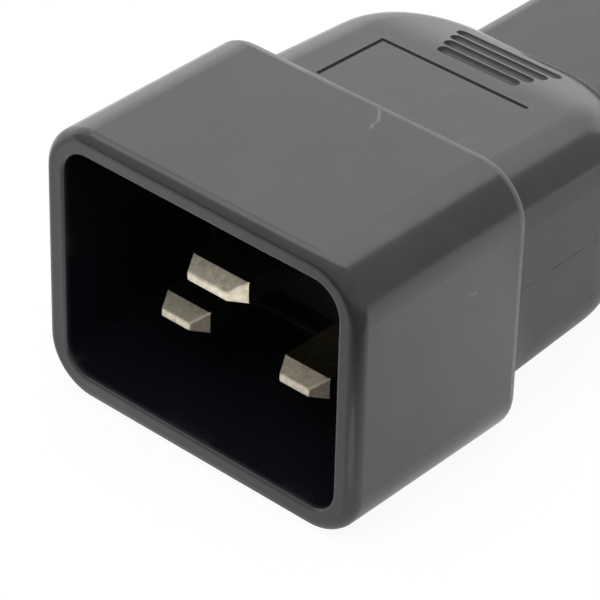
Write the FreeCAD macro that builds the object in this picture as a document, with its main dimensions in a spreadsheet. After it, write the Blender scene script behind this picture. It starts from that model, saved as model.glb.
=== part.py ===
import FreeCAD, Part
import math
import os
import Sketcher

# A moulded mains adapter: a three-pin plug in a deep shroud at the front, a grip and a
# neck behind it, and a three-slot outlet on a stepped nose at the back. One soft moulding
# covers everything, and it is cut to fit round the hard inner pieces.
# Every piece is drawn from one zero, where the plug's axis meets the rim of the shroud:
# X is right, Y runs back through the adapter and Z is up, towards the earth pin.

Vector = FreeCAD.Vector
GROOVES = 4

# Sizes that are chosen, in millimetres
CHOSEN = [
    ("recess_width", "29.4"),
    ("recess_height", "21.6"),
    ("recess_depth", "17.6"),
    ("recess_corner", "2.6"),
    ("side_wall", "2.2"),
    ("top_wall", "2.15"),
    ("shroud_corner", "4.8"),
    ("flange_thickness", "2.5"),
    ("rim_outer_round", "1.1"),
    ("rim_inner_round", "0.35"),
    ("seam_round", "0.8"),
    ("seam_side_step", "1.5"),
    ("seam_top_step", "2.35"),
    ("grip_length", "21.9"),
    ("grip_side_draft", "1.5"),
    ("grip_flat_length", "12.45"),
    ("grip_flat_fall", "0.46"),
    ("grip_drop", "2.8"),
    ("grip_plan_corner", "10.3"),
    ("grip_edge_round", "4.6"),
    ("groove_start", "13.4"),
    ("groove_pitch", "1.35"),
    ("groove_radius", "0.6"),
    ("groove_depth", "0.4"),
    ("groove_first_length", "8.7"),
    ("groove_last_length", "11.2"),
    ("groove_shift", "0.45"),
    ("frame_start", "2.7"),
    ("frame_length", "8.4"),
    ("frame_width", "15.8"),
    ("frame_shift", "-0.2"),
    ("frame_line", "0.4"),
    ("frame_depth", "0.22"),
    ("cut_margin", "2"),
    ("neck_width", "16.1"),
    ("neck_height", "13.4"),
    ("neck_corner", "2"),
    ("neck_length", "15"),
    ("socket_grip_length", "20"),
    ("socket_grip_side_draft", "1.2"),
    ("socket_grip_flat_length", "11.5"),
    ("socket_grip_flat_fall", "0.3"),
    ("socket_grip_drop", "3"),
    ("socket_grip_plan_corner", "7"),
    ("socket_grip_edge_round", "4"),
    ("shoulder_side_step", "2.1"),
    ("shoulder_top_step", "2.3"),
    ("shoulder_round", "1.2"),
    ("nose_width", "23.8"),
    ("nose_height", "16"),
    ("nose_length", "16.5"),
    ("nose_chamfer", "4.2"),
    ("nose_corner_round", "0.9"),
    ("nose_edge_round", "0.6"),
    ("pin_thickness", "2"),
    ("power_pin_width", "4.8"),
    ("earth_pin_width", "6"),
    ("pin_spacing", "13"),
    ("earth_pin_rise", "3.7"),
    ("power_pin_drop", "4.3"),
    ("earth_tip_setback", "1.3"),
    ("power_tip_setback", "4.5"),
    ("tip_length", "1.6"),
    ("tip_side_bevel", "0.85"),
    ("tip_flat", "0.75"),
    ("tip_edge_round", "0.2"),
    ("collar_length", "1.4"),
    ("collar_margin", "0.9"),
    ("barrel_diameter", "3"),
    ("pin_barrel_length", "6.5"),
    ("crimp_depth", "5"),
    ("bridge_width", "24.4"),
    ("bridge_height", "16.6"),
    ("bridge_depth", "8"),
    ("bridge_corner", "2"),
    ("bridge_groove_width", "2"),
    ("bridge_groove_depth", "0.9"),
    ("core_diameter", "1.6"),
    ("insulation_diameter", "3"),
    ("strip_gap", "1.2"),
    ("wire_lead", "2.5"),
    ("neck_wire_spread", "10.2"),
    ("neck_earth_rise", "3"),
    ("neck_power_drop", "2.9"),
    ("carrier_skin", "1.7"),
    ("carrier_depth", "14"),
    ("face_wall", "1.6"),
    ("slot_width", "2.6"),
    ("slot_height", "4.6"),
    ("socket_spacing", "14"),
    ("socket_earth_rise", "2"),
    ("socket_power_drop", "2"),
    ("cavity_width", "3.9"),
    ("cavity_height", "5.6"),
    ("retainer_thickness", "1.6"),
    ("sheet_thickness", "0.5"),
    ("leaf_gap", "1.7"),
    ("contact_height", "4.6"),
    ("contact_clearance", "0.4"),
    ("contact_back_wall", "0.8"),
    ("contact_barrel_length", "8"),
]

# Sizes and places that follow from the chosen ones; places are measured back from the rim
WORKED_OUT = [
    ("shroud_width", "=recess_width + 2 * side_wall"),
    ("shroud_height", "=recess_height + 2 * top_wall"),
    ("seam", "=recess_depth + flange_thickness"),
    ("grip_width", "=shroud_width - 2 * seam_side_step"),
    ("grip_height", "=shroud_height - 2 * seam_top_step"),
    ("grip_root", "=recess_depth + flange_thickness / 2"),
    ("grip_slope_start", "=seam + grip_flat_length"),
    ("grip_back", "=seam + grip_length"),
    ("grip_fall", "=grip_flat_fall / grip_flat_length"),
    ("grip_lean", "=sqrt(1 + grip_fall ^ 2)"),
    ("grip_arc_run", "=grip_length - grip_flat_length"),
    ("grip_arc_sink", "=grip_drop - grip_flat_fall"),
    ("grip_arc_bend", "=2 * (grip_arc_sink - grip_arc_run * grip_fall) / grip_lean"),
    ("grip_arc_radius", "=(grip_arc_run ^ 2 + grip_arc_sink ^ 2) / grip_arc_bend"),
    ("grip_arc_place", "=grip_slope_start - grip_arc_radius * grip_fall / grip_lean"),
    ("grip_arc_height", "=grip_height / 2 - grip_flat_fall - grip_arc_radius / grip_lean"),
    ("groove_front", "=seam + groove_start"),
    ("groove_reach", "=grip_arc_radius + groove_radius - groove_depth"),
    ("frame_front", "=seam + frame_start"),
    ("neck_front", "=grip_back - grip_drop"),
    ("neck_end", "=grip_back + neck_length"),
    ("neck_pad_length", "=neck_length + grip_drop + socket_grip_drop"),
    ("socket_grip_width", "=nose_width + 2 * shoulder_side_step"),
    ("socket_grip_height", "=nose_height + 2 * shoulder_top_step"),
    ("shoulder", "=neck_end + socket_grip_length"),
    ("socket_grip_slope_start", "=shoulder - socket_grip_flat_length"),
    ("nose_end", "=shoulder + nose_length"),
    ("axis_height", "=shroud_height / 2"),
    ("tip_flat_power_width", "=power_pin_width - 2 * tip_side_bevel"),
    ("tip_flat_earth_width", "=earth_pin_width - 2 * tip_side_bevel"),
    ("bridge_rear", "=recess_depth + bridge_depth"),
    ("power_blade_length", "=bridge_rear - power_tip_setback - tip_length"),
    ("earth_blade_length", "=bridge_rear - earth_tip_setback - tip_length"),
    ("collar_power_width", "=power_pin_width + 2 * collar_margin"),
    ("collar_earth_width", "=earth_pin_width + 2 * collar_margin"),
    ("collar_height", "=pin_thickness + 2 * collar_margin"),
    ("collar_rear", "=bridge_rear + collar_length"),
    ("pin_barrel_end", "=collar_rear + pin_barrel_length"),
    ("bridge_groove_start", "=recess_depth + bridge_depth / 2 - bridge_groove_width / 2"),
    ("bridge_waist_width", "=bridge_width - 2 * bridge_groove_depth"),
    ("bridge_waist_height", "=bridge_height - 2 * bridge_groove_depth"),
    ("carrier_width", "=nose_width - 2 * carrier_skin"),
    ("carrier_height", "=nose_height - 2 * carrier_skin"),
    ("carrier_chamfer", "=nose_chamfer - (2 - sqrt(2)) * carrier_skin"),
    ("carrier_rear", "=nose_end - carrier_depth"),
    ("cavity_depth", "=carrier_depth - face_wall"),
    ("retainer_rear", "=carrier_rear - retainer_thickness"),
    ("contact_width", "=leaf_gap + 2 * sheet_thickness"),
    ("contact_length", "=cavity_depth - contact_clearance"),
    ("contact_mouth", "=carrier_rear + contact_length"),
    ("contact_channel_depth", "=contact_length - contact_back_wall"),
    ("contact_barrel_end", "=carrier_rear - contact_barrel_length"),
]

doc = FreeCAD.newDocument("plug_adapter")
sheet = doc.addObject("Spreadsheet::Sheet", "Sizes")
for row, (alias, content) in enumerate(CHOSEN + WORKED_OUT, start=1):
    sheet.set(f"A{row}", alias)
    sheet.set(f"B{row}", content)
    sheet.setAlias(f"B{row}", alias)
doc.recompute()


def size(alias):
    """The value of one named size."""
    return float(getattr(sheet, alias))


def tie(thing, path, alias):
    """Bind a property to a named size."""
    thing.setExpression(path, "Sizes." + alias)


def stand(thing):
    """Move a piece from its drawing zero so that the adapter stands centred on the origin."""
    thing.setExpression("Placement.Base.y", "-Sizes.nose_end / 2")
    thing.setExpression("Placement.Base.z", "Sizes.axis_height")


def new_body(label):
    body = doc.addObject("PartDesign::Body", label)
    body.Label = label
    stand(body)
    return body


# Sketches

def start_sketch(body, name, plane, right=None, up=None, out=None):
    """An empty sketch on one of the body's origin planes, moved by formulas."""
    sketch = body.newObject("Sketcher::SketchObject", name)
    planes = {feature.Role: feature for feature in body.Origin.OriginFeatures}
    sketch.AttachmentSupport = [(planes[plane], "")]
    sketch.MapMode = "FlatFace"
    for axis, formula in zip("xyz", (right, up, out)):
        if formula:
            sketch.setExpression(f"AttachmentOffset.Base.{axis}", formula)
    return sketch


def section(body, name, place=None, right=None, up=None):
    """A sketch across the adapter; it faces the front, so its depth counts backwards."""
    return start_sketch(body, name, "XZ_Plane", right, up, f"-Sizes.{place}" if place else None)


def dimension(sketch, alias, kind, *ends):
    """A sketch dimension bound to a named size."""
    index = sketch.addConstraint(Sketcher.Constraint(kind, *ends, size(alias)))
    tie(sketch, f"Constraints[{index}]", alias)


def polygon(sketch, points):
    """A closed loop of lines, joined end to end."""
    ends = points[1:] + points[:1]
    lines = [sketch.addGeometry(Part.LineSegment(a, b)) for a, b in zip(points, ends)]
    for line, following in zip(lines, lines[1:] + lines[:1]):
        sketch.addConstraint(Sketcher.Constraint("Coincident", line, 2, following, 1))
    return lines


def rectangle(sketch, width, height):
    """A rectangle centred on the sketch's zero."""
    x = size(width) / 2
    y = size(height) / 2
    bottom, right, top, left = polygon(
        sketch, [Vector(-x, -y), Vector(x, -y), Vector(x, y), Vector(-x, y)])
    for line in (bottom, top):
        sketch.addConstraint(Sketcher.Constraint("Horizontal", line))
    for line in (right, left):
        sketch.addConstraint(Sketcher.Constraint("Vertical", line))
    sketch.addConstraint(Sketcher.Constraint("Symmetric", bottom, 1, top, 1, -1, 1))
    dimension(sketch, width, "DistanceX", bottom, 1, bottom, 2)
    dimension(sketch, height, "DistanceY", right, 1, right, 2)


def rounded_rectangle(sketch, width, height, corner):
    """A rectangle with quarter-round corners, centred on the sketch's zero."""
    x = size(width) / 2
    y = size(height) / 2
    r = size(corner)
    sides = [
        (Vector(-x + r, -y), Vector(x - r, -y)),
        (Vector(x, -y + r), Vector(x, y - r)),
        (Vector(x - r, y), Vector(-x + r, y)),
        (Vector(-x, y - r), Vector(-x, -y + r)),
    ]
    lines = [sketch.addGeometry(Part.LineSegment(a, b)) for a, b in sides]
    centres = [Vector(x - r, -y + r), Vector(x - r, y - r), Vector(-x + r, y - r), Vector(-x + r, -y + r)]
    arcs = []
    for quarter, centre in enumerate(centres):
        start = (quarter - 1) * math.pi / 2
        circle = Part.Circle(centre, Vector(0, 0, 1), r)
        arcs.append(sketch.addGeometry(Part.ArcOfCircle(circle, start, start + math.pi / 2)))
    for line, arc, following in zip(lines, arcs, lines[1:] + lines[:1]):
        sketch.addConstraint(Sketcher.Constraint("Tangent", line, 2, arc, 1))
        sketch.addConstraint(Sketcher.Constraint("Tangent", arc, 2, following, 1))
    for line in (lines[0], lines[2]):
        sketch.addConstraint(Sketcher.Constraint("Horizontal", line))
    for line in (lines[1], lines[3]):
        sketch.addConstraint(Sketcher.Constraint("Vertical", line))
    for arc in arcs[1:]:
        sketch.addConstraint(Sketcher.Constraint("Equal", arcs[0], arc))
    sketch.addConstraint(Sketcher.Constraint("Symmetric", arcs[0], 3, arcs[2], 3, -1, 1))
    dimension(sketch, corner, "Radius", arcs[0])
    dimension(sketch, width, "DistanceX", lines[3], 1, lines[1], 1)
    dimension(sketch, height, "DistanceY", lines[0], 1, lines[2], 1)


def outlet_outline(sketch, width, height, chamfer):
    """The outlet's outline: a rectangle with its two upper corners cut off at 45 degrees."""
    x = size(width) / 2
    y = size(height) / 2
    c = size(chamfer)
    bottom, right, right_cut, top, left_cut, left = polygon(sketch, [
        Vector(-x, -y), Vector(x, -y), Vector(x, y - c),
        Vector(x - c, y), Vector(-x + c, y), Vector(-x, y - c)])
    sketch.addConstraint([
        Sketcher.Constraint("Vertical", right),
        Sketcher.Constraint("Vertical", left),
        Sketcher.Constraint("Equal", right, left),
        Sketcher.Constraint("Symmetric", bottom, 1, bottom, 2, -2),
        Sketcher.Constraint("Symmetric", top, 2, top, 1, -2),
    ])
    dimension(sketch, width, "DistanceX", bottom, 1, bottom, 2)
    dimension(sketch, height, "DistanceY", bottom, 2, top, 1)
    dimension(sketch, chamfer, "DistanceX", right_cut, 2, right_cut, 1)
    dimension(sketch, chamfer, "DistanceY", right_cut, 1, right_cut, 2)
    middle = sketch.addConstraint(Sketcher.Constraint("DistanceY", bottom, 1, -1, 1, y))
    sketch.setExpression(f"Constraints[{middle}]", f"Sizes.{height} / 2")


def circle(sketch, diameter):
    """A circle centred on the sketch's zero."""
    ring = sketch.addGeometry(Part.Circle(Vector(), Vector(0, 0, 1), size(diameter) / 2))
    sketch.addConstraint(Sketcher.Constraint("Coincident", ring, 3, -1, 1))
    dimension(sketch, diameter, "Diameter", ring)


# Features

def pad(body, name, sketch, length, backwards=True):
    """Material grown from a section, towards the back or the front."""
    feature = body.newObject("PartDesign::Pad", name)
    feature.Profile = sketch
    feature.Reversed = backwards
    tie(feature, "Length", length)
    return feature


def middle_pad(body, name, sketch, length):
    """Material grown equally to both sides of a sketch."""
    feature = body.newObject("PartDesign::Pad", name)
    feature.Profile = sketch
    feature.SideType = "Symmetric"
    tie(feature, "Length", length)
    return feature


def pocket(body, name, sketch, length, backwards=True):
    """Material taken away from a section, towards the back or the front."""
    feature = body.newObject("PartDesign::Pocket", name)
    feature.Profile = sketch
    feature.Reversed = not backwards
    tie(feature, "Length", length)
    return feature


def middle_pocket(body, name, sketch, formula):
    """Material taken away equally to both sides of a sketch."""
    feature = body.newObject("PartDesign::Pocket", name)
    feature.Profile = sketch
    feature.SideType = "Symmetric"
    feature.setExpression("Length", formula)
    return feature


def fillet(body, name, base, radius, wanted):
    """Round those edges of the last feature that the test picks out."""
    doc.recompute()
    edges = [f"Edge{n}" for n, edge in enumerate(base.Shape.Edges, start=1) if wanted(edge)]
    feature = body.newObject("PartDesign::Fillet", name)
    feature.Base = (base, edges)
    tie(feature, "Radius", radius)
    return feature


NEAR = 1e-4


def lies_at(edge, place):
    """Whether an edge lies wholly in the cross-plane at a place along the adapter."""
    return all(abs(vertex.Y - place) < NEAR for vertex in edge.Vertexes)


def touches(edge, place):
    """Whether an edge starts or ends in the cross-plane at a place along the adapter."""
    return any(abs(vertex.Y - place) < NEAR for vertex in edge.Vertexes)


# The soft moulding

def grip_plan(body, prefix, flat_end, round_end):
    """A grip seen from above: square at one end, with two large round corners at the other."""
    sketch = start_sketch(body, prefix + "_plan", "XY_Plane")
    x = size(prefix + "_width") / 2
    r = size(prefix + "_plan_corner")
    start = size(flat_end)
    end = size(round_end)
    turn = math.copysign(r, end - start)
    flat = sketch.addGeometry(Part.LineSegment(Vector(-x, start), Vector(x, start)))
    right = sketch.addGeometry(Part.LineSegment(Vector(x, start), Vector(x, end - turn)))
    back = sketch.addGeometry(Part.LineSegment(Vector(x - r, end), Vector(-x + r, end)))
    left = sketch.addGeometry(Part.LineSegment(Vector(-x, end - turn), Vector(-x, start)))
    quarter = math.pi / 2
    corners = []
    for side in (1, -1):
        first = 0 if side == 1 else quarter
        if turn < 0:
            first = -first - quarter
        centre = Vector(side * (x - r), end - turn)
        corners.append(sketch.addGeometry(
            Part.ArcOfCircle(Part.Circle(centre, Vector(0, 0, 1), r), first, first + quarter)))
    near, far = (1, 2) if turn > 0 else (2, 1)
    sketch.addConstraint([
        Sketcher.Constraint("Coincident", flat, 2, right, 1),
        Sketcher.Constraint("Coincident", left, 2, flat, 1),
        Sketcher.Constraint("Tangent", right, 2, corners[0], near),
        Sketcher.Constraint("Tangent", corners[0], far, back, 1),
        Sketcher.Constraint("Tangent", back, 2, corners[1], near),
        Sketcher.Constraint("Tangent", corners[1], far, left, 1),
        Sketcher.Constraint("Equal", corners[0], corners[1]),
        Sketcher.Constraint("Symmetric", flat, 1, flat, 2, -2),
        Sketcher.Constraint("Symmetric", back, 1, back, 2, -2),
    ])
    upright = math.radians(90 + size(prefix + "_side_draft"))
    lean = sketch.addConstraint(Sketcher.Constraint("Angle", right, math.copysign(upright, turn)))
    sign = "" if turn > 0 else "-"
    sketch.setExpression(f"Constraints[{lean}]", f"{sign}(90 + Sizes.{prefix}_side_draft) * 1 deg")
    dimension(sketch, prefix + "_width", "DistanceX", flat, 1, flat, 2)
    dimension(sketch, prefix + "_plan_corner", "Radius", corners[0])
    dimension(sketch, flat_end, "DistanceY", -1, 1, flat, 1)
    dimension(sketch, round_end, "DistanceY", -1, 1, back, 1)
    return sketch


def falling_line(sketch, prefix, flat_end, slope_start, round_end, side, lowered=None):
    """A grip's top or underside seen from the right: a gentle fall, then an arc down to the back.

    Returns the line, the arc and which end of the arc is the far one.
    """
    root = size(flat_end)
    start = size(slope_start)
    end = size(round_end)
    depth = size(lowered) if lowered else 0
    level = side * (size(prefix + "_height") / 2 - depth)
    knee = Vector(start, level - side * size(prefix + "_flat_fall"))
    low = Vector(end, level - side * size(prefix + "_drop"))
    flat = sketch.addGeometry(Part.LineSegment(Vector(root, level), knee))
    along = (knee - Vector(root, level)).normalize()
    inward = Vector(-along.y, along.x) * (1 if along.x * side < 0 else -1)
    chord = low - knee
    radius = chord.dot(chord) / (2 * chord.dot(inward))
    centre = knee + inward * radius
    begin = math.atan2(knee.y - centre.y, knee.x - centre.x)
    finish = math.atan2(low.y - centre.y, low.x - centre.x)
    rising = (finish - begin) % (2 * math.pi) < math.pi
    first, last = (begin, finish) if rising else (finish, begin)
    near, far = (1, 2) if rising else (2, 1)
    slope = sketch.addGeometry(Part.ArcOfCircle(Part.Circle(centre, Vector(0, 0, 1), radius), first, last))
    sketch.addConstraint(Sketcher.Constraint("Tangent", flat, 2, slope, near))
    dimension(sketch, flat_end, "DistanceX", -1, 1, flat, 1)
    dimension(sketch, slope_start, "DistanceX", -1, 1, flat, 2)
    dimension(sketch, round_end, "DistanceX", -1, 1, slope, far)
    formula = f"Sizes.{prefix}_height / 2" + (f" - Sizes.{lowered}" if lowered else "")
    heights = [
        (flat, 1, ""),
        (flat, 2, f" - Sizes.{prefix}_flat_fall"),
        (slope, far, f" - Sizes.{prefix}_drop"),
    ]
    for (curve, point, less), place in zip(heights, (Vector(root, level), knee, low)):
        ends = (-1, 1, curve, point) if side == 1 else (curve, point, -1, 1)
        index = sketch.addConstraint(Sketcher.Constraint("DistanceY", *ends, abs(place.y)))
        sketch.setExpression(f"Constraints[{index}]", formula + less)
    return flat, slope, far


def grip_slopes(body, prefix, flat_end, slope_start, round_end):
    """What the grip's falling top and underside leave out, seen from the right."""
    sketch = start_sketch(body, prefix + "_slopes", "YZ_Plane")
    root = size(flat_end)
    end = size(round_end)
    margin = size("cut_margin")
    beyond = end + math.copysign(margin, end - root)
    for side in (1, -1):
        flat, slope, far = falling_line(sketch, prefix, flat_end, slope_start, round_end, side)
        level = side * size(prefix + "_height") / 2
        outside = level + side * margin
        low = level - side * size(prefix + "_drop")
        path = [Vector(end, low), Vector(beyond, low), Vector(beyond, outside), Vector(root, outside),
                Vector(root, level)]
        ledge, rise, over, down = [
            sketch.addGeometry(Part.LineSegment(a, b)) for a, b in zip(path, path[1:])]
        sketch.addConstraint([
            Sketcher.Constraint("Coincident", slope, far, ledge, 1),
            Sketcher.Constraint("Coincident", ledge, 2, rise, 1),
            Sketcher.Constraint("Coincident", rise, 2, over, 1),
            Sketcher.Constraint("Coincident", over, 2, down, 1),
            Sketcher.Constraint("Coincident", down, 2, flat, 1),
            Sketcher.Constraint("Horizontal", ledge),
            Sketcher.Constraint("Vertical", rise),
            Sketcher.Constraint("Horizontal", over),
            Sketcher.Constraint("Vertical", down),
        ])
        across = (ledge, 1, ledge, 2) if end > root else (ledge, 2, ledge, 1)
        dimension(sketch, "cut_margin", "DistanceX", *across)
        upwards = (down, 2, down, 1) if side == 1 else (down, 1, down, 2)
        dimension(sketch, "cut_margin", "DistanceY", *upwards)
    return sketch


def grip(body, prefix, root, flat_end, slope_start, round_end):
    """A pillow-shaped grip: a plan outline, falling top and underside, and wide round edges.

    The plan runs from the root, which may lie inside another solid, and the fall from the flat end.
    """
    middle_pad(body, prefix + "_block", grip_plan(body, prefix, root, round_end), prefix + "_height")
    slopes = grip_slopes(body, prefix, flat_end, slope_start, round_end)
    base = middle_pocket(body, prefix + "_falling_ends", slopes, f"2 * Sizes.{prefix}_width")
    low, high = sorted((size(flat_end), size(round_end)))
    least = size(prefix + "_height") / 2 - size(prefix + "_drop") - NEAR

    def on_rim(edge):
        box = edge.BoundBox
        if box.YMin < low - NEAR or box.YMax > high + NEAR:
            return False
        if min(abs(box.ZMin), abs(box.ZMax)) < least or box.ZMin * box.ZMax < 0:
            return False
        return not lies_at(edge, size(slope_start)) and not lies_at(edge, size(flat_end))

    return fillet(body, prefix + "_edges", base, prefix + "_edge_round", on_rim)


def groove_outline(sketch, number):
    """Half of one finger groove's cutter, along its axis: a bar with round ends; later ones are longer."""
    share = number / (GROOVES - 1)
    first = size("groove_first_length")
    last = size("groove_last_length")
    x = (first + share * (last - first)) / 2
    r = size("groove_radius")
    axis = sketch.addGeometry(Part.LineSegment(Vector(-x, 0), Vector(x, 0)))
    top = sketch.addGeometry(Part.LineSegment(Vector(x - r, r), Vector(-x + r, r)))
    quarter = math.pi / 2
    right, left = [
        sketch.addGeometry(Part.ArcOfCircle(
            Part.Circle(Vector(side * (x - r), 0), Vector(0, 0, 1), r), begin, begin + quarter))
        for side, begin in ((1, 0), (-1, quarter))]
    sketch.addConstraint([
        Sketcher.Constraint("Coincident", axis, 2, right, 1),
        Sketcher.Constraint("Tangent", right, 2, top, 1),
        Sketcher.Constraint("Tangent", top, 2, left, 1),
        Sketcher.Constraint("Coincident", left, 2, axis, 1),
        Sketcher.Constraint("Symmetric", axis, 1, axis, 2, -1, 1),
        Sketcher.Constraint("Horizontal", axis),
        Sketcher.Constraint("PointOnObject", right, 3, axis),
        Sketcher.Constraint("PointOnObject", left, 3, axis),
        Sketcher.Constraint("Equal", right, left),
    ])
    dimension(sketch, "groove_radius", "Radius", right)
    index = sketch.addConstraint(Sketcher.Constraint("DistanceX", axis, 1, axis, 2, 2 * x))
    sketch.setExpression(
        f"Constraints[{index}]",
        f"Sizes.groove_first_length * (1 - {number} / {GROOVES - 1})"
        f" + Sizes.groove_last_length * {number} / {GROOVES - 1}")


def frame_outline(sketch):
    """The line that frames the bare label place on two sides, seen from above."""
    line = size("frame_line")
    front = size("frame_front")
    back = front + size("frame_length")
    x = size("frame_width") / 2
    start, inside, under, end, over, outside = polygon(sketch, [
        Vector(-x, front), Vector(-x + line, front), Vector(-x + line, back - line),
        Vector(x, back - line), Vector(x, back), Vector(-x, back)])
    for level in (start, under):
        sketch.addConstraint(Sketcher.Constraint("Horizontal", level))
    for upright in (inside, end, outside):
        sketch.addConstraint(Sketcher.Constraint("Vertical", upright))
    sketch.addConstraint(Sketcher.Constraint("Symmetric", over, 1, over, 2, -2))
    dimension(sketch, "frame_width", "DistanceX", over, 2, over, 1)
    dimension(sketch, "frame_line", "DistanceX", start, 1, start, 2)
    dimension(sketch, "frame_line", "DistanceY", end, 1, end, 2)
    dimension(sketch, "frame_length", "DistanceY", outside, 2, outside, 1)
    dimension(sketch, "frame_front", "DistanceY", -1, 1, start, 1)


def keep_skin(body, label, depth):
    """Keep, of a shape that reaches through the grip's skin, only what is nearer the skin than a depth."""
    core = start_sketch(body, label + "_floor", "YZ_Plane")
    stops = ("seam", "grip_slope_start", "grip_back")
    top, top_slope, top_far = falling_line(core, "grip", *stops, 1, depth)
    low, low_slope, low_far = falling_line(core, "grip", *stops, -1, depth)
    level = size("grip_height") / 2 - size(depth)
    end_level = level - size("grip_drop")
    root = size("seam")
    end = size("grip_back")
    closing = core.addGeometry(Part.LineSegment(Vector(root, level), Vector(root, -level)))
    back_line = core.addGeometry(Part.LineSegment(Vector(end, end_level), Vector(end, -end_level)))
    core.addConstraint([
        Sketcher.Constraint("Coincident", closing, 1, top, 1),
        Sketcher.Constraint("Coincident", closing, 2, low, 1),
        Sketcher.Constraint("Coincident", back_line, 1, top_slope, top_far),
        Sketcher.Constraint("Coincident", back_line, 2, low_slope, low_far),
    ])
    middle_pocket(body, label + "_core", core, "2 * Sizes.grip_width")


def finger_grooves():
    """What the finger grooves leave out on top and underneath: round bars that dip into the falling skin."""
    body = new_body("finger_grooves")
    for side, sign in (("top", ""), ("under", "-")):
        for number in range(GROOVES):
            place = f"(Sizes.groove_front + {number} * Sizes.groove_pitch)"
            height = ("(Sizes.grip_arc_height"
                      f" + sqrt(Sizes.groove_reach ^ 2 - ({place} - Sizes.grip_arc_place) ^ 2))")
            label = f"{side}_groove_{number + 1}"
            outline = start_sketch(body, label + "_outline", "XZ_Plane",
                                   "Sizes.groove_shift", sign + height, "-" + place)
            groove_outline(outline, number)
            bar = body.newObject("PartDesign::Revolution", label)
            bar.Profile = outline
            bar.ReferenceAxis = (outline, ["H_Axis"])
    return body


def label_frame():
    """The engraved line round the label place, on top only."""
    body = new_body("label_frame")
    outline = start_sketch(body, "frame_plan", "XY_Plane", "Sizes.frame_shift")
    frame_outline(outline)
    pad(body, "frame_upwards", outline, "grip_height", backwards=False)
    keep_skin(body, "frame", "frame_depth")
    return body


def within(edge, width, height):
    """Whether an edge lies inside a centred box of named sizes, seen along the adapter."""
    x = size(width) / 2 + NEAR
    z = size(height) / 2 + NEAR
    return all(abs(vertex.X) < x and abs(vertex.Z) < z for vertex in edge.Vertexes)


def on_nose(edge):
    return within(edge, "nose_width", "nose_height")


def in_recess(edge):
    return within(edge, "recess_width", "recess_height")


def on_grip(edge):
    return within(edge, "grip_width", "grip_height")


def plug_half():
    """The shroud with its open recess, and the grip behind it."""
    body = new_body("plug_half")
    outline = section(body, "shroud_outline")
    rounded_rectangle(outline, "shroud_width", "shroud_height", "shroud_corner")
    pad(body, "shroud", outline, "seam")
    grip(body, "grip", "grip_root", "seam", "grip_slope_start", "grip_back")
    recess = section(body, "recess_outline")
    rounded_rectangle(recess, "recess_width", "recess_height", "recess_corner")
    base = pocket(body, "recess", recess, "recess_depth")
    base = fillet(body, "rim_outside", base, "rim_outer_round",
                  lambda edge: lies_at(edge, 0) and not in_recess(edge))
    base = fillet(body, "rim_inside", base, "rim_inner_round",
                  lambda edge: lies_at(edge, 0) and in_recess(edge))
    fillet(body, "seam_edge", base, "seam_round",
           lambda edge: lies_at(edge, size("seam")) and not on_grip(edge))
    return body


def outlet_half():
    """The second grip, turned round, and the stepped nose behind it."""
    body = new_body("outlet_half")
    grip(body, "socket_grip", "shoulder", "shoulder", "socket_grip_slope_start", "neck_end")
    nose = section(body, "nose_outline", "shoulder")
    outlet_outline(nose, "nose_width", "nose_height", "nose_chamfer")
    base = pad(body, "nose", nose, "nose_length")
    base = fillet(body, "nose_corners", base, "nose_corner_round",
                  lambda edge: on_nose(edge) and touches(edge, size("nose_end"))
                  and not lies_at(edge, size("nose_end")))
    base = fillet(body, "shoulder_edges", base, "shoulder_round",
                  lambda edge: lies_at(edge, size("shoulder")) and not on_nose(edge))
    fillet(body, "nose_edges", base, "nose_edge_round", lambda edge: lies_at(edge, size("nose_end")))
    return body


def neck():
    """The bar between the two halves, which runs into both."""
    body = new_body("neck_bar")
    outline = section(body, "neck_outline", "neck_front")
    rounded_rectangle(outline, "neck_width", "neck_height", "neck_corner")
    pad(body, "neck", outline, "neck_pad_length")
    return body


# The plug end: pins in a hard bridge

PIN_PLACES = {
    "earth": (None, "Sizes.earth_pin_rise"),
    "line": ("-Sizes.pin_spacing / 2", "-Sizes.power_pin_drop"),
    "neutral": ("Sizes.pin_spacing / 2", "-Sizes.power_pin_drop"),
}


def pin(name):
    """A flat pin with a bevelled tip, a collar behind the bridge and a barrel for its wire."""
    kind = "earth" if name == "earth" else "power"
    right, up = PIN_PLACES[name]
    body = new_body(name + "_pin")
    tip = section(body, name + "_tip", kind + "_tip_setback", right, up)
    rectangle(tip, f"tip_flat_{kind}_width", "tip_flat")
    root = start_sketch(body, name + "_tip_root", "XZ_Plane", right, up,
                        f"-Sizes.{kind}_tip_setback - Sizes.tip_length")
    rectangle(root, kind + "_pin_width", "pin_thickness")
    bevel = body.newObject("PartDesign::AdditiveLoft", name + "_bevel")
    bevel.Profile = tip
    bevel.Sections = [root]
    bevel.Ruled = True
    blade = start_sketch(body, name + "_blade_section", "XZ_Plane", right, up,
                         f"-Sizes.{kind}_tip_setback - Sizes.tip_length")
    rectangle(blade, kind + "_pin_width", "pin_thickness")
    base = pad(body, name + "_blade", blade, kind + "_blade_length")
    fillet(body, name + "_tip_edges", base, "tip_edge_round",
           lambda edge: touches(edge, size(kind + "_tip_setback")))
    collar = section(body, name + "_collar_section", "bridge_rear", right, up)
    rectangle(collar, f"collar_{kind}_width", "collar_height")
    pad(body, name + "_collar", collar, "collar_length")
    barrel = section(body, name + "_barrel_section", "collar_rear", right, up)
    circle(barrel, "barrel_diameter")
    pad(body, name + "_barrel", barrel, "pin_barrel_length")
    bore = section(body, name + "_bore_section", "pin_barrel_end", right, up)
    circle(bore, "core_diameter")
    pocket(body, name + "_bore", bore, "crimp_depth", backwards=False)
    return body


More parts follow.
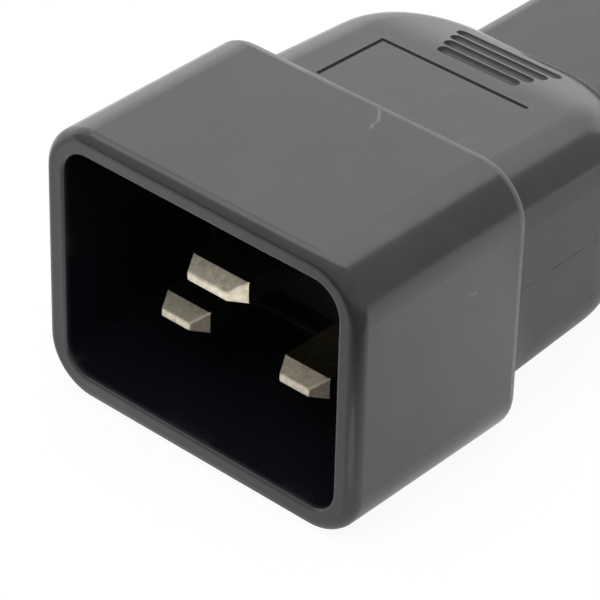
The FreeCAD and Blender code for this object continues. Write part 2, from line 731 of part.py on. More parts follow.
def bridge_block():
    """The bridge before the pins go through it, with a groove round it that locks the moulding."""
    body = new_body("bridge_block")
    outline = section(body, "bridge_outline", "recess_depth")
    rounded_rectangle(outline, "bridge_width", "bridge_height", "bridge_corner")
    pad(body, "bridge", outline, "bridge_depth")
    ring = section(body, "bridge_groove_outline", "bridge_groove_start")
    rounded_rectangle(ring, "bridge_width", "bridge_height", "bridge_corner")
    rectangle(ring, "bridge_waist_width", "bridge_waist_height")
    pocket(body, "bridge_groove", ring, "bridge_groove_width")
    return body


# The outlet end: spring contacts in a carrier, shut in by a plate

SOCKET_PLACES = {
    "earth": (None, "Sizes.socket_earth_rise"),
    "line": ("-Sizes.socket_spacing / 2", "-Sizes.socket_power_drop"),
    "neutral": ("Sizes.socket_spacing / 2", "-Sizes.socket_power_drop"),
}


def carrier_block(label):
    """The carrier's outside, which also shapes its seat in the nose."""
    body = new_body(label)
    outline = section(body, label + "_outline", "carrier_rear")
    outlet_outline(outline, "carrier_width", "carrier_height", "carrier_chamfer")
    pad(body, label + "_solid", outline, "carrier_depth")
    return body


def contact_carrier():
    """The carrier with a slot in its face and a cavity behind it for each contact."""
    body = carrier_block("contact_carrier")
    for name, (right, up) in SOCKET_PLACES.items():
        cavity = section(body, name + "_cavity_outline", "carrier_rear", right, up)
        rectangle(cavity, "cavity_width", "cavity_height")
        pocket(body, name + "_cavity", cavity, "cavity_depth")
        slot = section(body, name + "_slot_outline", "carrier_rear", right, up)
        rectangle(slot, "slot_width", "slot_height")
        pocket(body, name + "_slot", slot, "carrier_depth")
    return body


def retainer():
    """The plate that shuts the cavities, with a round hole for each contact's barrel."""
    body = new_body("contact_retainer")
    outline = section(body, "retainer_outline", "retainer_rear")
    outlet_outline(outline, "carrier_width", "carrier_height", "carrier_chamfer")
    pad(body, "retainer_plate", outline, "retainer_thickness")
    for name, (right, up) in SOCKET_PLACES.items():
        hole = section(body, name + "_hole_outline", "retainer_rear", right, up)
        circle(hole, "barrel_diameter")
        pocket(body, name + "_hole", hole, "retainer_thickness")
    return body


def contact(name):
    """A folded contact: two leaves on a web, a back wall and a barrel for its wire."""
    right, up = SOCKET_PLACES[name]
    body = new_body(name + "_contact")
    outside = section(body, name + "_leaves_outline", "carrier_rear", right, up)
    rectangle(outside, "contact_width", "contact_height")
    pad(body, name + "_leaves", outside, "contact_length")
    channel = section(body, name + "_channel_outline", "contact_mouth",
                      right, up + " + Sizes.sheet_thickness")
    rectangle(channel, "leaf_gap", "contact_height")
    pocket(body, name + "_channel", channel, "contact_channel_depth", backwards=False)
    barrel = section(body, name + "_barrel_outline", "carrier_rear", right, up)
    circle(barrel, "barrel_diameter")
    pad(body, name + "_barrel_pad", barrel, "contact_barrel_length", backwards=False)
    bore = section(body, name + "_bore_outline", "contact_barrel_end", right, up)
    circle(bore, "core_diameter")
    pocket(body, name + "_bore_cut", bore, "crimp_depth")
    return body


# The wires between them

BEND_SHARE = 0.45


def places(name):
    """Where one wire runs, across the adapter: at its pin, in the neck and at its contact."""
    side = {"earth": 0, "line": -0.5, "neutral": 0.5}[name]
    if name == "earth":
        levels = (size("earth_pin_rise"), size("neck_earth_rise"), size("socket_earth_rise"))
    else:
        levels = (-size("power_pin_drop"), -size("neck_power_drop"), -size("socket_power_drop"))
    spreads = [side * size(alias) for alias in ("pin_spacing", "neck_wire_spread", "socket_spacing")]
    return list(zip(spreads, levels))


def wire_route(name, start, end):
    """A wire's corner points between two places along the adapter."""
    at_pin, in_neck, at_contact = places(name)
    stops = [
        (at_pin, start),
        (at_pin, size("pin_barrel_end") + size("wire_lead")),
        (in_neck, size("grip_back")),
        (in_neck, size("neck_end")),
        (at_contact, size("contact_barrel_end") - size("wire_lead")),
        (at_contact, end),
    ]
    return [Vector(x, along, z) for (x, z), along in stops]


def bend_runs(points):
    """How much of each run a bend takes up, at every inner point."""
    runs = [(b - a).Length for a, b in zip(points, points[1:])]
    return [BEND_SHARE * min(pair) for pair in zip(runs, runs[1:])]


def tangent_path(points, bends):
    """Straight runs joined by arcs that leave and meet them smoothly."""
    edges = []
    start = points[0]
    for before, corner, after, bend in zip(points, points[1:], points[2:], bends):
        back = (before - corner).normalize()
        onward = (after - corner).normalize()
        half = back.getAngle(onward) / 2
        if math.pi / 2 - half < NEAR:
            continue
        towards_centre = (back + onward).normalize()
        radius = bend * math.tan(half)
        middle = corner + towards_centre * (bend / math.cos(half) - radius)
        first = corner + back * bend
        last = corner + onward * bend
        edges.append(Part.LineSegment(start, first).toShape())
        edges.append(Part.Arc(first, middle, last).toShape())
        start = last
    edges.append(Part.LineSegment(start, points[-1]).toShape())
    return Part.Wire(edges)


def rod(label, points, bends, diameter):
    """A round rod along a route."""
    profile = Part.Wire(Part.Circle(points[0], Vector(0, 1, 0), size(diameter) / 2).toShape())
    piece = doc.addObject("Part::Feature", label)
    piece.Label = label
    piece.Shape = tangent_path(points, bends).makePipeShell([profile], True, False)
    stand(piece)
    return piece


def wire(name):
    """A bare conductor from crimp to crimp and the insulation round all but its ends."""
    covered = wire_route(name, size("pin_barrel_end") + size("strip_gap"),
                         size("contact_barrel_end") - size("strip_gap"))
    bends = bend_runs(covered)
    bare = wire_route(name, size("pin_barrel_end") - size("crimp_depth"),
                      size("contact_barrel_end") + size("crimp_depth"))
    conductor = rod(name + "_conductor", bare, bends, "core_diameter")
    sleeve = rod(name + "_sleeve", covered, bends, "insulation_diameter")
    return conductor, sleeve


def cut(label, base, tool):
    """One piece less another."""
    piece = doc.addObject("Part::Cut", label)
    piece.Label = label
    piece.Base = base
    piece.Tool = tool
    return piece


def together(label, pieces):
    """Several shapes as one."""
    group = doc.addObject("Part::MultiFuse", label)
    group.Shapes = pieces
    return group


# Assembly

NAMES = ("earth", "line", "neutral")

form = together("moulding_form", [plug_half(), neck(), outlet_half()])
engravings = [finger_grooves(), label_frame()]
pins = [pin(name) for name in NAMES]
block = bridge_block()
bridge = cut("pin_bridge", block, together("pins_together", pins))
carrier = contact_carrier()
seat = carrier_block("carrier_seat")
plate = retainer()
contacts = [contact(name) for name in NAMES]
wires = [wire(name) for name in NAMES]
conductors = [conductor for conductor, sleeve in wires]
sleeves = [sleeve for conductor, sleeve in wires]
insulations = [
    cut(name + "_insulation", sleeve, conductor) for name, (conductor, sleeve) in zip(NAMES, wires)]
embedded = together("embedded", [block, seat, plate] + pins + contacts + conductors + sleeves)
engraved = cut("engraved_form", form, together("engravings", engravings))
overmould = cut("overmould", engraved, embedded)
doc.recompute()

# Checks, then one file for each piece

pieces = [overmould, bridge, carrier, plate] + pins + contacts + conductors + insulations
for thing in doc.Objects:
    if "Invalid" in thing.State or "Error" in thing.State:
        raise RuntimeError(f"{thing.Label} failed: {thing.State}")
    if thing.TypeId == "PartDesign::Pocket" and thing.Shape.Volume >= thing.BaseFeature.Shape.Volume:
        raise RuntimeError(f"{thing.Label} cuts nothing")
for piece in pieces:
    if piece.Shape.isNull() or not piece.Shape.isValid() or len(piece.Shape.Solids) != 1:
        raise RuntimeError(f"{piece.Label} is not one sound solid")

os.makedirs("parts", exist_ok=True)
for piece in pieces:
    piece.Shape.exportStep(f"parts/{piece.Label}.step")
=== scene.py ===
import bpy
import math
from mathutils import Matrix, Vector


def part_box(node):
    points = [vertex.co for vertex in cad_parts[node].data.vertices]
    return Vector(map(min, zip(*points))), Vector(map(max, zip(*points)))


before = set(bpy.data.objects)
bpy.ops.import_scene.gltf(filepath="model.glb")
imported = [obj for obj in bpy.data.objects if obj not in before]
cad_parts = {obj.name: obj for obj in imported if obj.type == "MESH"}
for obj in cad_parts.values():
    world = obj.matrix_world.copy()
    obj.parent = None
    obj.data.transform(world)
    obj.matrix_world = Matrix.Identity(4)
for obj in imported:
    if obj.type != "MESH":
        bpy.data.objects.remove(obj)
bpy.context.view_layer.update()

MM = 0.001

# The moulding's own zero: where the plug's axis meets the rim of the shroud
LOW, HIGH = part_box("overmould")
RIM = Vector((0, LOW.y, (LOW.z + HIGH.z) / 2))

# The plug's recess, the step seam behind it and the part of the grip with the engraved line, in millimetres
RECESS_WIDTH = 29.4
RECESS_HEIGHT = 21.6
RECESS_DEPTH = 17.6
SEAM = 20.1
ENGRAVED_LENGTH = 12.5

# The foremost pin, in millimetres
EARTH_PIN_WIDTH = 6
PIN_TIP_LENGTH = 1.6

# Light scratches on the shroud's top and right side, from the rim in millimetres
SCRATCHES = [((1.9, 19.2, 12.95), (3, 17.9, 12.95)),
             ((3, 17.9, 12.95), (3.3, 16.5, 12.95)),
             ((16.9, 12.5, 5.4), (16.9, 13.8, 5))]

# The moulding's greys, and how much bluer than a plain grey its own grey is
SKIN_DARK = 0.033
SKIN_LIGHT = 0.039
SKIN_TINT = 0.035
PARTING_LINE_GREY = 0.022
# Painted shade for creases and grooves
PAINTED_CREVICE_SHADE = 0.006
# A painted highlight along the shroud's back edge
EDGE_HIGHLIGHT_GREY = 0.135
SCRATCH_GREY = 0.11
# A pale grey painted into the engraved line, which lightens its shade
PALE_LINE_GREY = 0.1
# Painted near-black shade inside the plug's recess
RECESS_PAINTED_SHADE = (0.005, 0.006, 0.0088, 1)

# How rough the moulding is, and how strongly it bends light
SKIN_SMOOTH = 0.15
SKIN_ROUGH = 0.21
RUBBED_ROUGHNESS = 0.42
GROOVE_ROUGHNESS = 0.7
SKIN_IOR = 1.6

# The photograph's view: directions in degrees, places from the rim in millimetres, image sizes in pixels
IMAGE_WIDTH = 600
VIEW_AZIMUTH = 41.55
VIEW_ELEVATION = 34.6
VIEW_ROLL = 1.36
VIEW_DISTANCE = 280.6
VIEW_RIGHT = 7.5
VIEW_UP = 4.7
FOCAL_LENGTH = 3564
OPTICAL_CENTRE = (290.5, 272.4)

# The photograph's light as its reflections show it. Azimuths are in degrees, from straight back to the
# right; heights run from nought, which is level, to one, which is straight up.
LIGHT_TINT = 0.025
ROOM_AZIMUTH = -110
ROOM_DARK = 0.2
ROOM_LIGHT = 0.4
BACKDROP_AZIMUTH = -48.5
BACKDROP_HALF_WIDTH = 63.5
BACKDROP_SOFT_EDGE = 2
BACKDROP_FOOT_HEIGHT = 0.25
BACKDROP_FOOT_SPREAD = 0.25

# The backdrop's light from its foot to its top: each height with its light
BACKDROP_LIGHT = [(0.1, 1.3), (0.25, 1.6), (0.3, 1.6), (0.5, 1.15), (0.6, 1.15), (0.8, 1.6)]

# A thin dim gap in the backdrop, on one side of the room
GAP_AZIMUTH = -135
GAP_HEIGHT = 0.71
GAP_HALF_HEIGHT = 0.04
GAP_SOFT_EDGE = 0.01
GAP_DIMMING = 0.8

# The floor: its half width in metres, its greys, and how white the camera and reflections see it
FLOOR_HALF_WIDTH = 3
FLOOR_DARK = 0.03
FLOOR_PALE = 0.85
FLOOR_SEEN = 0.93
FLOOR_MIRRORED = 0.5

# Where the floor is pale for everything but the camera, in millimetres from the object's middle. It darkens
# towards the camera and has a painted shadow strip below the object; a round pale card lies before the
# shroud's corner.
PALE_END = 29
DARK_START = 73
STRIP_MIDDLE = 10
STRIP_HALF_WIDTH = 16
STRIP_SOFT_EDGE = 1.5
STRIP_SHARE = 0.45
CARD_PLACE = (21.5, -58.5)
CARD_RADIUS = 6.5
CARD_SOFT_EDGE = 2.5


# Camera

def view_axes():
    """The photograph's right, up and back directions."""
    azimuth = math.radians(VIEW_AZIMUTH)
    elevation = math.radians(VIEW_ELEVATION)
    roll = math.radians(VIEW_ROLL)
    back = Vector((math.sin(azimuth) * math.cos(elevation),
                   -math.cos(azimuth) * math.cos(elevation),
                   math.sin(elevation)))
    level = Vector((math.cos(azimuth), math.sin(azimuth), 0))
    upright = back.cross(level)
    right = math.cos(roll) * level + math.sin(roll) * upright
    return right, back.cross(right), back


def add_camera():
    right, up, back = view_axes()
    camera = bpy.data.cameras.new("photo_camera")
    camera.sensor_width = 36
    camera.lens = camera.sensor_width * FOCAL_LENGTH / IMAGE_WIDTH
    camera.shift_x = 0.5 - OPTICAL_CENTRE[0] / IMAGE_WIDTH
    camera.shift_y = OPTICAL_CENTRE[1] / IMAGE_WIDTH - 0.5
    camera.clip_start = 0.01
    place = RIM + MM * (VIEW_RIGHT * right + VIEW_UP * up + VIEW_DISTANCE * back)
    holder = bpy.data.objects.new("photo_camera", camera)
    holder.matrix_world = Matrix.Translation(place) @ Matrix((right, up, back)).transposed().to_4x4()
    bpy.context.scene.collection.objects.link(holder)
    bpy.context.scene.camera = holder


# Shader building

class Tree:
    """A shader tree that is built node by node; an input is a number, a colour or another node's output."""

    def __init__(self, owner):
        owner.use_nodes = True
        self.tree = owner.node_tree
        self.tree.nodes.clear()

    def add(self, kind, settings=None, **inputs):
        """Add a node; its inputs go by name, with _ for a space, or by number, as i0, i1 and so on."""
        node = self.tree.nodes.new("ShaderNode" + kind)
        for name, value in (settings or {}).items():
            setattr(node, name, value)
        for name, value in inputs.items():
            key = int(name[1:]) if name[0] == "i" and name[1:].isdigit() else name.replace("_", " ")
            socket = node.inputs[key]
            if isinstance(value, bpy.types.NodeSocket):
                self.tree.links.new(value, socket)
            else:
                socket.default_value = value
        return node

    def math(self, operation, first, second=0.0):
        return self.add("Math", {"operation": operation}, i0=first, i1=second).outputs[0]

    def product(self, first, *others):
        for other in others:
            first = self.math("MULTIPLY", first, other)
        return first

    def apart(self, first, second):
        """How far apart two numbers are."""
        return self.math("ABSOLUTE", self.math("SUBTRACT", first, second))

    def vector(self, operation, first, second):
        return self.add("VectorMath", {"operation": operation}, i0=first, i1=second).outputs[0]

    def scaled(self, vector, factor):
        return self.add("VectorMath", {"operation": "SCALE"}, i0=vector, Scale=factor).outputs[0]

    def dot(self, first, second):
        node = self.add("VectorMath", {"operation": "DOT_PRODUCT"}, i0=first, i1=second)
        return node.outputs["Value"]

    def distance(self, first, second):
        node = self.add("VectorMath", {"operation": "DISTANCE"}, i0=first, i1=second)
        return node.outputs["Value"]

    def split(self, vector):
        """A vector's parts, by the names X, Y and Z."""
        return self.add("SeparateXYZ", Vector=vector).outputs

    def ramp(self, value, from_low, from_high, to_low, to_high):
        """A value stretched from one range to another and kept inside it."""
        node = self.add("MapRange", Value=value, From_Min=from_low, From_Max=from_high,
                        To_Min=to_low, To_Max=to_high)
        return node.outputs["Result"]

    def fade(self, value, edge, softness):
        """One below an edge and nought above it, with a soft change between."""
        return self.ramp(value, edge - softness, edge + softness, 1, 0)

    def profile(self, value, stops):
        """A level that runs straight from stop to stop; each stop is a value and its level."""
        level = stops[0][1]
        for (start, low), (end, high) in zip(stops, stops[1:]):
            level = self.math("ADD", level, self.ramp(value, start, end, 0, high - low))
        return level

    def blend(self, share, first, second):
        """One colour turned into another by a share."""
        return self.add("Mix", {"data_type": "RGBA"}, i0=share, i6=first, i7=second).outputs[2]

    def noise(self, place, fineness, detail=2.0, roughness=0.5):
        """Noise as a number (Fac) and as a colour (Color); its fineness is in patches to the millimetre."""
        node = self.add("TexNoise", Vector=place, Scale=fineness / MM, Detail=detail, Roughness=roughness)
        return node.outputs

    def patches(self, place, fineness, low, high, detail=3.0, roughness=0.5, start=0.3, end=0.7):
        """Noise stretched to run from one level to another; start and end are the noise at those levels."""
        return self.ramp(self.noise(place, fineness, detail, roughness)["Fac"], start, end, low, high)

    def bump(self, height, depth, strength, over=None, invert=False):
        """A normal bent by a height of a depth in millimetres, over another bump if there is one."""
        node = self.add("Bump", {"invert": invert}, Strength=strength, Distance=MM * depth, Height=height)
        if over is not None:
            self.tree.links.new(over, node.inputs["Normal"])
        return node.outputs[0]

    def finish(self, shader, kind="Material"):
        output = self.tree.nodes.new("ShaderNodeOutput" + kind)
        self.tree.links.new(shader.outputs[0], output.inputs["Surface"])


def grey(level, tint=0.0):
    """A grey of one level, with a share more blue."""
    return (level, level, level * (1 + tint), 1)


# The moulding's skin

def painted_recess_shade(tree, place):
    """One where near-black shade is painted inside the plug's recess, from a short fade behind the rim, and
    nought elsewhere.
    """
    margin = 0.05
    fade_start, fade_end = 0.1, 0.7
    parts = tree.split(place)
    depth = tree.math("SUBTRACT", parts["Y"], RIM.y)
    return tree.product(
        tree.math("LESS_THAN", tree.math("ABSOLUTE", parts["X"]), MM * (RECESS_WIDTH / 2 + margin)),
        tree.math("LESS_THAN", tree.apart(parts["Z"], RIM.z), MM * (RECESS_HEIGHT / 2 + margin)),
        tree.math("LESS_THAN", depth, MM * (RECESS_DEPTH + margin)),
        tree.ramp(depth, MM * fade_start, MM * fade_end, 0, 1))


def edge_band(tree, place):
    """One along the shroud's back edge, in a narrow band before the seam, and nought elsewhere."""
    width = 0.85
    soft_edge = width / 4
    margin = 0.02
    seam = RIM.y + MM * SEAM
    along = tree.split(place)["Y"]
    band = tree.ramp(along, seam - MM * (width + soft_edge), seam - MM * width, 0, 1)
    return tree.product(band, tree.math("LESS_THAN", along, seam + MM * margin))


def edge_highlight_share(tree, place):
    """How much highlight is painted along the shroud's back edge: unevenly, and on top less towards the
    right.
    """
    full_x, faint_x, faint = -9, 2, 0.4
    side_height, top_height = 8, 11
    parts = tree.split(place)
    top = tree.ramp(parts["X"], MM * full_x, MM * faint_x, 1, faint)
    side = tree.ramp(parts["Z"], RIM.z + MM * side_height, RIM.z + MM * top_height, 1, 0)
    uneven = tree.patches(place, fineness=0.5, low=0.6, high=1, end=0.6)
    return tree.product(edge_band(tree, place), tree.math("MAXIMUM", top, side), uneven)


def scratch_share(tree, place, start, end):
    """How near the skin is to a thin wavering scratch between two points: one along it, nought beside it."""
    width = 0.42
    full_width = width / 5
    waver = 0.3
    noise_middle = (0.5, 0.5, 0.5)
    run = MM * (Vector(end) - Vector(start))
    shift = tree.vector("SUBTRACT", tree.noise(place, fineness=1.5)["Color"], noise_middle)
    away = tree.vector("SUBTRACT", place, RIM + MM * Vector(start))
    away = tree.vector("ADD", away, tree.scaled(shift, MM * waver))
    along = tree.ramp(tree.dot(away, run / run.length_squared), 0, 1, 0, 1)
    off = tree.distance(away, tree.scaled(run, along))
    return tree.ramp(off, MM * full_width / 2, MM * width / 2, 1, 0)


def parting_line(tree, place):
    """The uneven hairline that the mould's two halves leave along the sides, behind the seam."""
    height = 0.45
    width = 0.32
    darkest = 0.9
    parts = tree.split(place)
    behind = tree.math("GREATER_THAN", parts["Y"], RIM.y + MM * SEAM)
    line = tree.ramp(tree.apart(parts["Z"], RIM.z + MM * height), 0, MM * width / 2, darkest, 0)
    uneven = tree.patches(place, fineness=0.4, low=0.35, high=1, start=0.35, end=0.6)
    return tree.product(behind, line, uneven)


def open_share(tree):
    """How open the space right above the skin is: one on a plain face, less in a groove or engraved line."""
    reach = 0.9
    return tree.add("AmbientOcclusion", {"samples": 8}, Distance=MM * reach).outputs["AO"]


def pale_line_share(tree, place, clear):
    """How much pale grey is painted into the engraved line, lightening its shade: where the skin is least
    open, in a length behind the seam.
    """
    shut_line, open_line = 0.3, 0.5
    start = RIM.y + MM * SEAM
    along = tree.split(place)["Y"]
    return tree.product(
        tree.ramp(clear, shut_line, open_line, 1, 0),
        tree.math("GREATER_THAN", along, start),
        tree.math("LESS_THAN", along, start + MM * ENGRAVED_LENGTH))


def moulded_skin():
    """Soft dark grey moulding: fine grain, faint flow marks, a parting line, scratches, a painted highlight
    along the shroud's back edge, painted shade in creases and grooves, a pale grey painted into the engraved
    line and painted near-black shade in the recess.
    """
    shut, plain = 0.6, 0.95
    material = bpy.data.materials.new("moulded_skin")
    tree = Tree(material)
    place = tree.add("TexCoord").outputs["Object"]
    line = parting_line(tree, place)
    clear = open_share(tree)
    # Painted shade in creases and grooves, where the space above the skin is least open; it also roughens
    # them
    crevice_shade = tree.ramp(clear, shut, plain, 1, 0)

    cloud = tree.patches(place, fineness=0.22, low=0, high=1, detail=4)
    colour = tree.blend(cloud, grey(SKIN_DARK, SKIN_TINT), grey(SKIN_LIGHT, SKIN_TINT))
    # Painted shade: near-black inside the plug's recess
    colour = tree.blend(painted_recess_shade(tree, place), colour, RECESS_PAINTED_SHADE)
    # Painted highlight along the shroud's back edge
    colour = tree.blend(edge_highlight_share(tree, place), colour, grey(EDGE_HIGHLIGHT_GREY))
    worn = tree.patches(place, fineness=1.3, low=0, high=0.8, start=0.35, end=0.6)
    for start, end in SCRATCHES:
        mark = tree.product(scratch_share(tree, place, start, end), worn)
        colour = tree.blend(mark, colour, grey(SCRATCH_GREY))
    colour = tree.blend(line, colour, grey(PARTING_LINE_GREY, SKIN_TINT))
    # Painted shade in creases and grooves
    colour = tree.blend(crevice_shade, colour, grey(PAINTED_CREVICE_SHADE, SKIN_TINT))
    # A pale grey painted into the engraved line, lightening its shade
    colour = tree.blend(pale_line_share(tree, place, clear), colour, grey(PALE_LINE_GREY))

    roughness = tree.patches(place, fineness=0.9, low=SKIN_SMOOTH, high=SKIN_ROUGH)
    roughness = tree.ramp(edge_band(tree, place), 0, 1, roughness, RUBBED_ROUGHNESS)
    roughness = tree.ramp(tree.math("MAXIMUM", line, crevice_shade), 0, 1, roughness, GROOVE_ROUGHNESS)

    flow = tree.bump(tree.noise(place, fineness=0.26, detail=1)["Fac"], depth=0.4, strength=0.05)
    grain = tree.bump(tree.noise(place, fineness=5.2)["Fac"], depth=0.03, strength=0.1, over=flow)
    relief = tree.bump(line, depth=0.04, strength=0.5, over=grain, invert=True)
    tree.finish(tree.add("BsdfPrincipled", Base_Color=colour, Roughness=roughness, Normal=relief,
                         IOR=SKIN_IOR))
    return material


# The other materials

def plating():
    """Slightly warm, mottled nickel plating: smooth along the blades and satin on the bevelled tips."""
    dark, light = (0.62, 0.55, 0.415, 1), (0.94, 0.86, 0.66, 1)
    smooth, satin = 0.22, 0.32
    satin_metal = 0.6
    tip_facing, blade_facing = -0.3, -0.1
    material = bpy.data.materials.new("nickel_plating")
    tree = Tree(material)
    place = tree.add("TexCoord").outputs["Object"]
    mottle = tree.patches(place, fineness=1.8, low=0, high=1, detail=4, roughness=0.65, start=0.32, end=0.68)
    facing = tree.split(tree.add("NewGeometry").outputs["Normal"])["Y"]
    tip = tree.ramp(facing, tip_facing, blade_facing, 1, 0)
    grain = tree.bump(tree.noise(place, fineness=6)["Fac"], depth=0.02, strength=0.25)
    tree.finish(tree.add("BsdfPrincipled", Base_Color=tree.blend(mottle, dark, light),
                         Metallic=tree.ramp(tip, 0, 1, 1, satin_metal),
                         Roughness=tree.ramp(tip, 0, 1, smooth, satin), Normal=grain))
    return material


def plain_plastic(name, dark, light):
    """A hard or soft plastic with a faint cloud in its tone and gloss."""
    glossy, dull = 0.4, 0.5
    material = bpy.data.materials.new(name)
    tree = Tree(material)
    place = tree.add("TexCoord").outputs["Object"]
    cloud = tree.patches(place, fineness=0.7, low=0, high=1)
    grain = tree.bump(tree.noise(place, fineness=4)["Fac"], depth=0.03, strength=0.1)
    tree.finish(tree.add("BsdfPrincipled", Base_Color=tree.blend(cloud, dark, light),
                         Roughness=tree.ramp(cloud, 0, 1, glossy, dull), Normal=grain))
    return material


def bare_metal(name, dark, light):
    """A bare metal with faint stains."""
    bright, stained = 0.25, 0.4
    material = bpy.data.materials.new(name)
    tree = Tree(material)
    place = tree.add("TexCoord").outputs["Object"]
    cloud = tree.patches(place, fineness=0.8, low=0, high=1, detail=4)
    tree.finish(tree.add("BsdfPrincipled", Base_Color=tree.blend(cloud, dark, light), Metallic=1.0,
                         Roughness=tree.ramp(cloud, 0, 1, bright, stained)))
    return material


def dress(material, *names):
    """Give pieces a material."""
    for name in names:
        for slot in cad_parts[name].material_slots:
            slot.material = material


def of_each(kind):
    """The names of the three poles' pieces of one kind."""
    return [f"{name}_{kind}" for name in ("earth", "line", "neutral")]


# Surroundings

def pale_share(tree, place):
    """How pale the floor is for everything but the camera."""
    back = view_axes()[2]
    front = tree.dot(place, Vector((back.x, back.y, 0)).normalized())
    pale = tree.ramp(front, MM * PALE_END, MM * DARK_START, 1, 0)
    # A painted shadow strip across the floor below the object, seen by everything but the camera
    strip = tree.fade(tree.apart(front, MM * STRIP_MIDDLE), MM * STRIP_HALF_WIDTH, MM * STRIP_SOFT_EDGE)
    pale = tree.product(pale, tree.ramp(strip, 0, 1, 1, STRIP_SHARE))
    middle = Vector((MM * CARD_PLACE[0], MM * CARD_PLACE[1], LOW.z))
    card = tree.fade(tree.distance(place, middle), MM * CARD_RADIUS, MM * CARD_SOFT_EDGE)
    return tree.math("MAXIMUM", pale, card)


def floor_paint():
    """Nearly white to the camera, but for a soft shadow; half white in reflections where it is pale."""
    material = bpy.data.materials.new("pale_floor")
    tree = Tree(material)
    path = tree.add("LightPath").outputs
    pale = pale_share(tree, tree.add("TexCoord").outputs["Object"])
    tone = tree.math("MAXIMUM", pale, path["Is Camera Ray"])
    lit = tree.add("BsdfDiffuse", Color=tree.blend(tone, grey(FLOOR_DARK), grey(FLOOR_PALE)))
    white = tree.add("Emission", Color=grey(1), Strength=1.0)
    seen = tree.product(path["Is Camera Ray"], FLOOR_SEEN)
    mirrored = tree.product(path["Is Glossy Ray"], pale, FLOOR_MIRRORED)
    share = tree.math("MAXIMUM", seen, mirrored)
    tree.finish(tree.add("MixShader", i0=share, i1=lit.outputs[0], i2=white.outputs[0]))
    return material


def add_floor():
    """A wide floor that keeps the object's shadow."""
    signs = ((-1, -1), (1, -1), (1, 1), (-1, 1))
    corners = [(x * FLOOR_HALF_WIDTH, y * FLOOR_HALF_WIDTH, LOW.z) for x, y in signs]
    mesh = bpy.data.meshes.new("floor")
    mesh.from_pydata(corners, [], [(0, 1, 2, 3)])
    mesh.materials.append(floor_paint())
    floor = bpy.data.objects.new("floor", mesh)
    bpy.context.scene.collection.objects.link(floor)


def heading(azimuth):
    """The level direction at an azimuth."""
    angle = math.radians(azimuth)
    return (math.sin(angle), math.cos(angle), 0)


def backdrop_share(tree, level, height):
    """One towards the backdrop, which is wider at its foot, less in its gap and nought elsewhere."""
    outer, inner = [math.cos(math.radians(BACKDROP_HALF_WIDTH + edge))
                    for edge in (BACKDROP_SOFT_EDGE, -BACKDROP_SOFT_EDGE)]
    gap_start, gap_full = 0.02, 0.12
    foot = tree.ramp(height, 0, BACKDROP_FOOT_HEIGHT, BACKDROP_FOOT_SPREAD, 0)
    toward = tree.math("ADD", tree.dot(level, heading(BACKDROP_AZIMUTH)), foot)
    lit = tree.ramp(toward, outer, inner, 0, 1)
    gap = tree.product(
        tree.fade(tree.apart(height, GAP_HEIGHT), GAP_HALF_HEIGHT, GAP_SOFT_EDGE),
        tree.ramp(tree.dot(level, heading(GAP_AZIMUTH)), gap_start, gap_full, 0, 1),
        GAP_DIMMING)
    return tree.math("SUBTRACT", lit, tree.product(lit, gap))


def add_world():
    """White to the camera; otherwise a dim room with a wide bright backdrop to the left and behind."""
    darkest, lightest = -1, 0.9
    world = bpy.data.worlds.new("studio")
    bpy.context.scene.world = world
    tree = Tree(world)
    x, y, height = tree.split(tree.add("TexCoord").outputs["Generated"])
    flat = tree.add("CombineXYZ", X=x, Y=y).outputs[0]
    level = tree.add("VectorMath", {"operation": "NORMALIZE"}, i0=flat).outputs[0]
    dim = tree.ramp(tree.dot(level, heading(ROOM_AZIMUTH)), darkest, lightest, ROOM_DARK, ROOM_LIGHT)
    bright = tree.profile(height, BACKDROP_LIGHT)
    strength = tree.ramp(backdrop_share(tree, level, height), 0, 1, dim, bright)
    room = tree.add("Background", Color=grey(1, LIGHT_TINT), Strength=strength)
    white = tree.add("Background", Color=grey(1), Strength=1.0)
    camera_ray = tree.add("LightPath").outputs["Is Camera Ray"]
    tree.finish(tree.add("MixShader", i0=camera_ray, i1=room.outputs[0], i2=white.outputs[0]), "World")


def place_lamp(lamp, toward, distance, aim=Vector()):
    """Put a lamp in one direction from a point, facing it; reflections don't show it."""
    holder = bpy.data.objects.new(lamp.name, lamp)
    direction = Vector(toward).normalized()
    holder.location = aim + direction * distance
    holder.rotation_euler = direction.to_track_quat("Z", "Y").to_euler()
    holder.visible_glossy = False
    bpy.context.scene.collection.objects.link(holder)


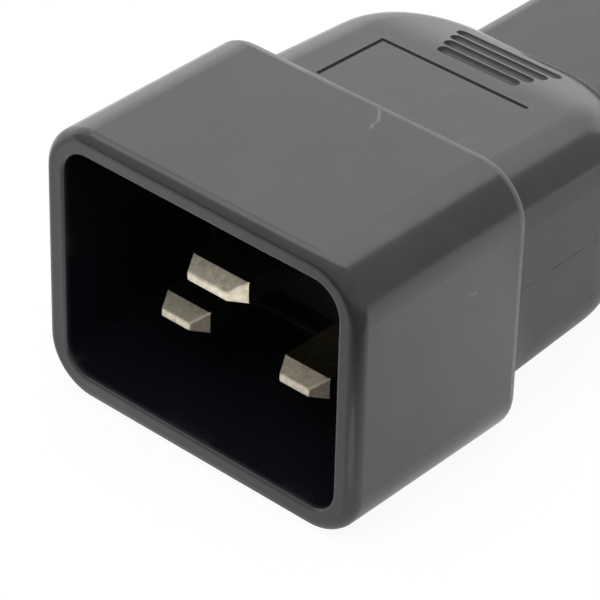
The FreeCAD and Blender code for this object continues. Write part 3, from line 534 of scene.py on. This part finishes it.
def add_soft_lamp(name, toward, distance, width, power):
    """A soft square lamp that faces the object."""
    lamp = bpy.data.lights.new(name, "AREA")
    lamp.size = width
    lamp.energy = power
    lamp.color = grey(1, LIGHT_TINT)[:3]
    place_lamp(lamp, toward, distance)


def add_beam(name, toward, distance, width, power):
    """A narrow beam that passes the rim and reaches the foremost pin's tip alone, from its right."""
    low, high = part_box("earth_pin")
    aim = Vector((MM * EARTH_PIN_WIDTH / 2, low.y + MM * PIN_TIP_LENGTH / 2, (low.z + high.z) / 2))
    lamp = bpy.data.lights.new(name, "SPOT")
    lamp.spot_size = 2 * math.atan(width / 2 / distance)
    lamp.spot_blend = 0.3
    lamp.shadow_soft_size = width / 2
    lamp.energy = power
    place_lamp(lamp, toward, distance, aim)


# The scene; lamp sizes and distances are in metres and powers in watts

add_camera()
add_world()
add_floor()
add_soft_lamp("overhead", toward=(0.15, -0.32, 1), distance=0.8, width=0.9, power=6.4)
add_soft_lamp("right_side", toward=(1, 0.25, 0.12), distance=0.8, width=0.6, power=5.0)
add_beam("pin_glint", toward=(0.88, -0.47, -0.06), distance=0.23, width=0.004, power=4.0)

black_insert = plain_plastic("black_insert", dark=grey(0.008), light=grey(0.014))
contact_brass = bare_metal("contact_brass", dark=(0.6, 0.42, 0.16, 1), light=(0.78, 0.6, 0.28, 1))
bare_copper = bare_metal("bare_copper", dark=(0.6, 0.27, 0.14, 1), light=(0.78, 0.4, 0.24, 1))
earth_sleeve = plain_plastic("earth_sleeve", dark=(0.2, 0.36, 0.03, 1), light=(0.3, 0.46, 0.05, 1))
line_sleeve = plain_plastic("line_sleeve", dark=(0.1, 0.045, 0.02, 1), light=(0.14, 0.06, 0.03, 1))
neutral_sleeve = plain_plastic("neutral_sleeve", dark=(0.02, 0.08, 0.3, 1), light=(0.03, 0.11, 0.38, 1))

dress(moulded_skin(), "overmould")
dress(plating(), *of_each("pin"))
dress(black_insert, "pin_bridge", "contact_carrier", "contact_retainer")
dress(contact_brass, *of_each("contact"))
dress(bare_copper, *of_each("conductor"))
dress(earth_sleeve, "earth_insulation")
dress(line_sleeve, "line_insulation")
dress(neutral_sleeve, "neutral_insulation")

bpy.context.scene.view_settings.view_transform = "Standard"
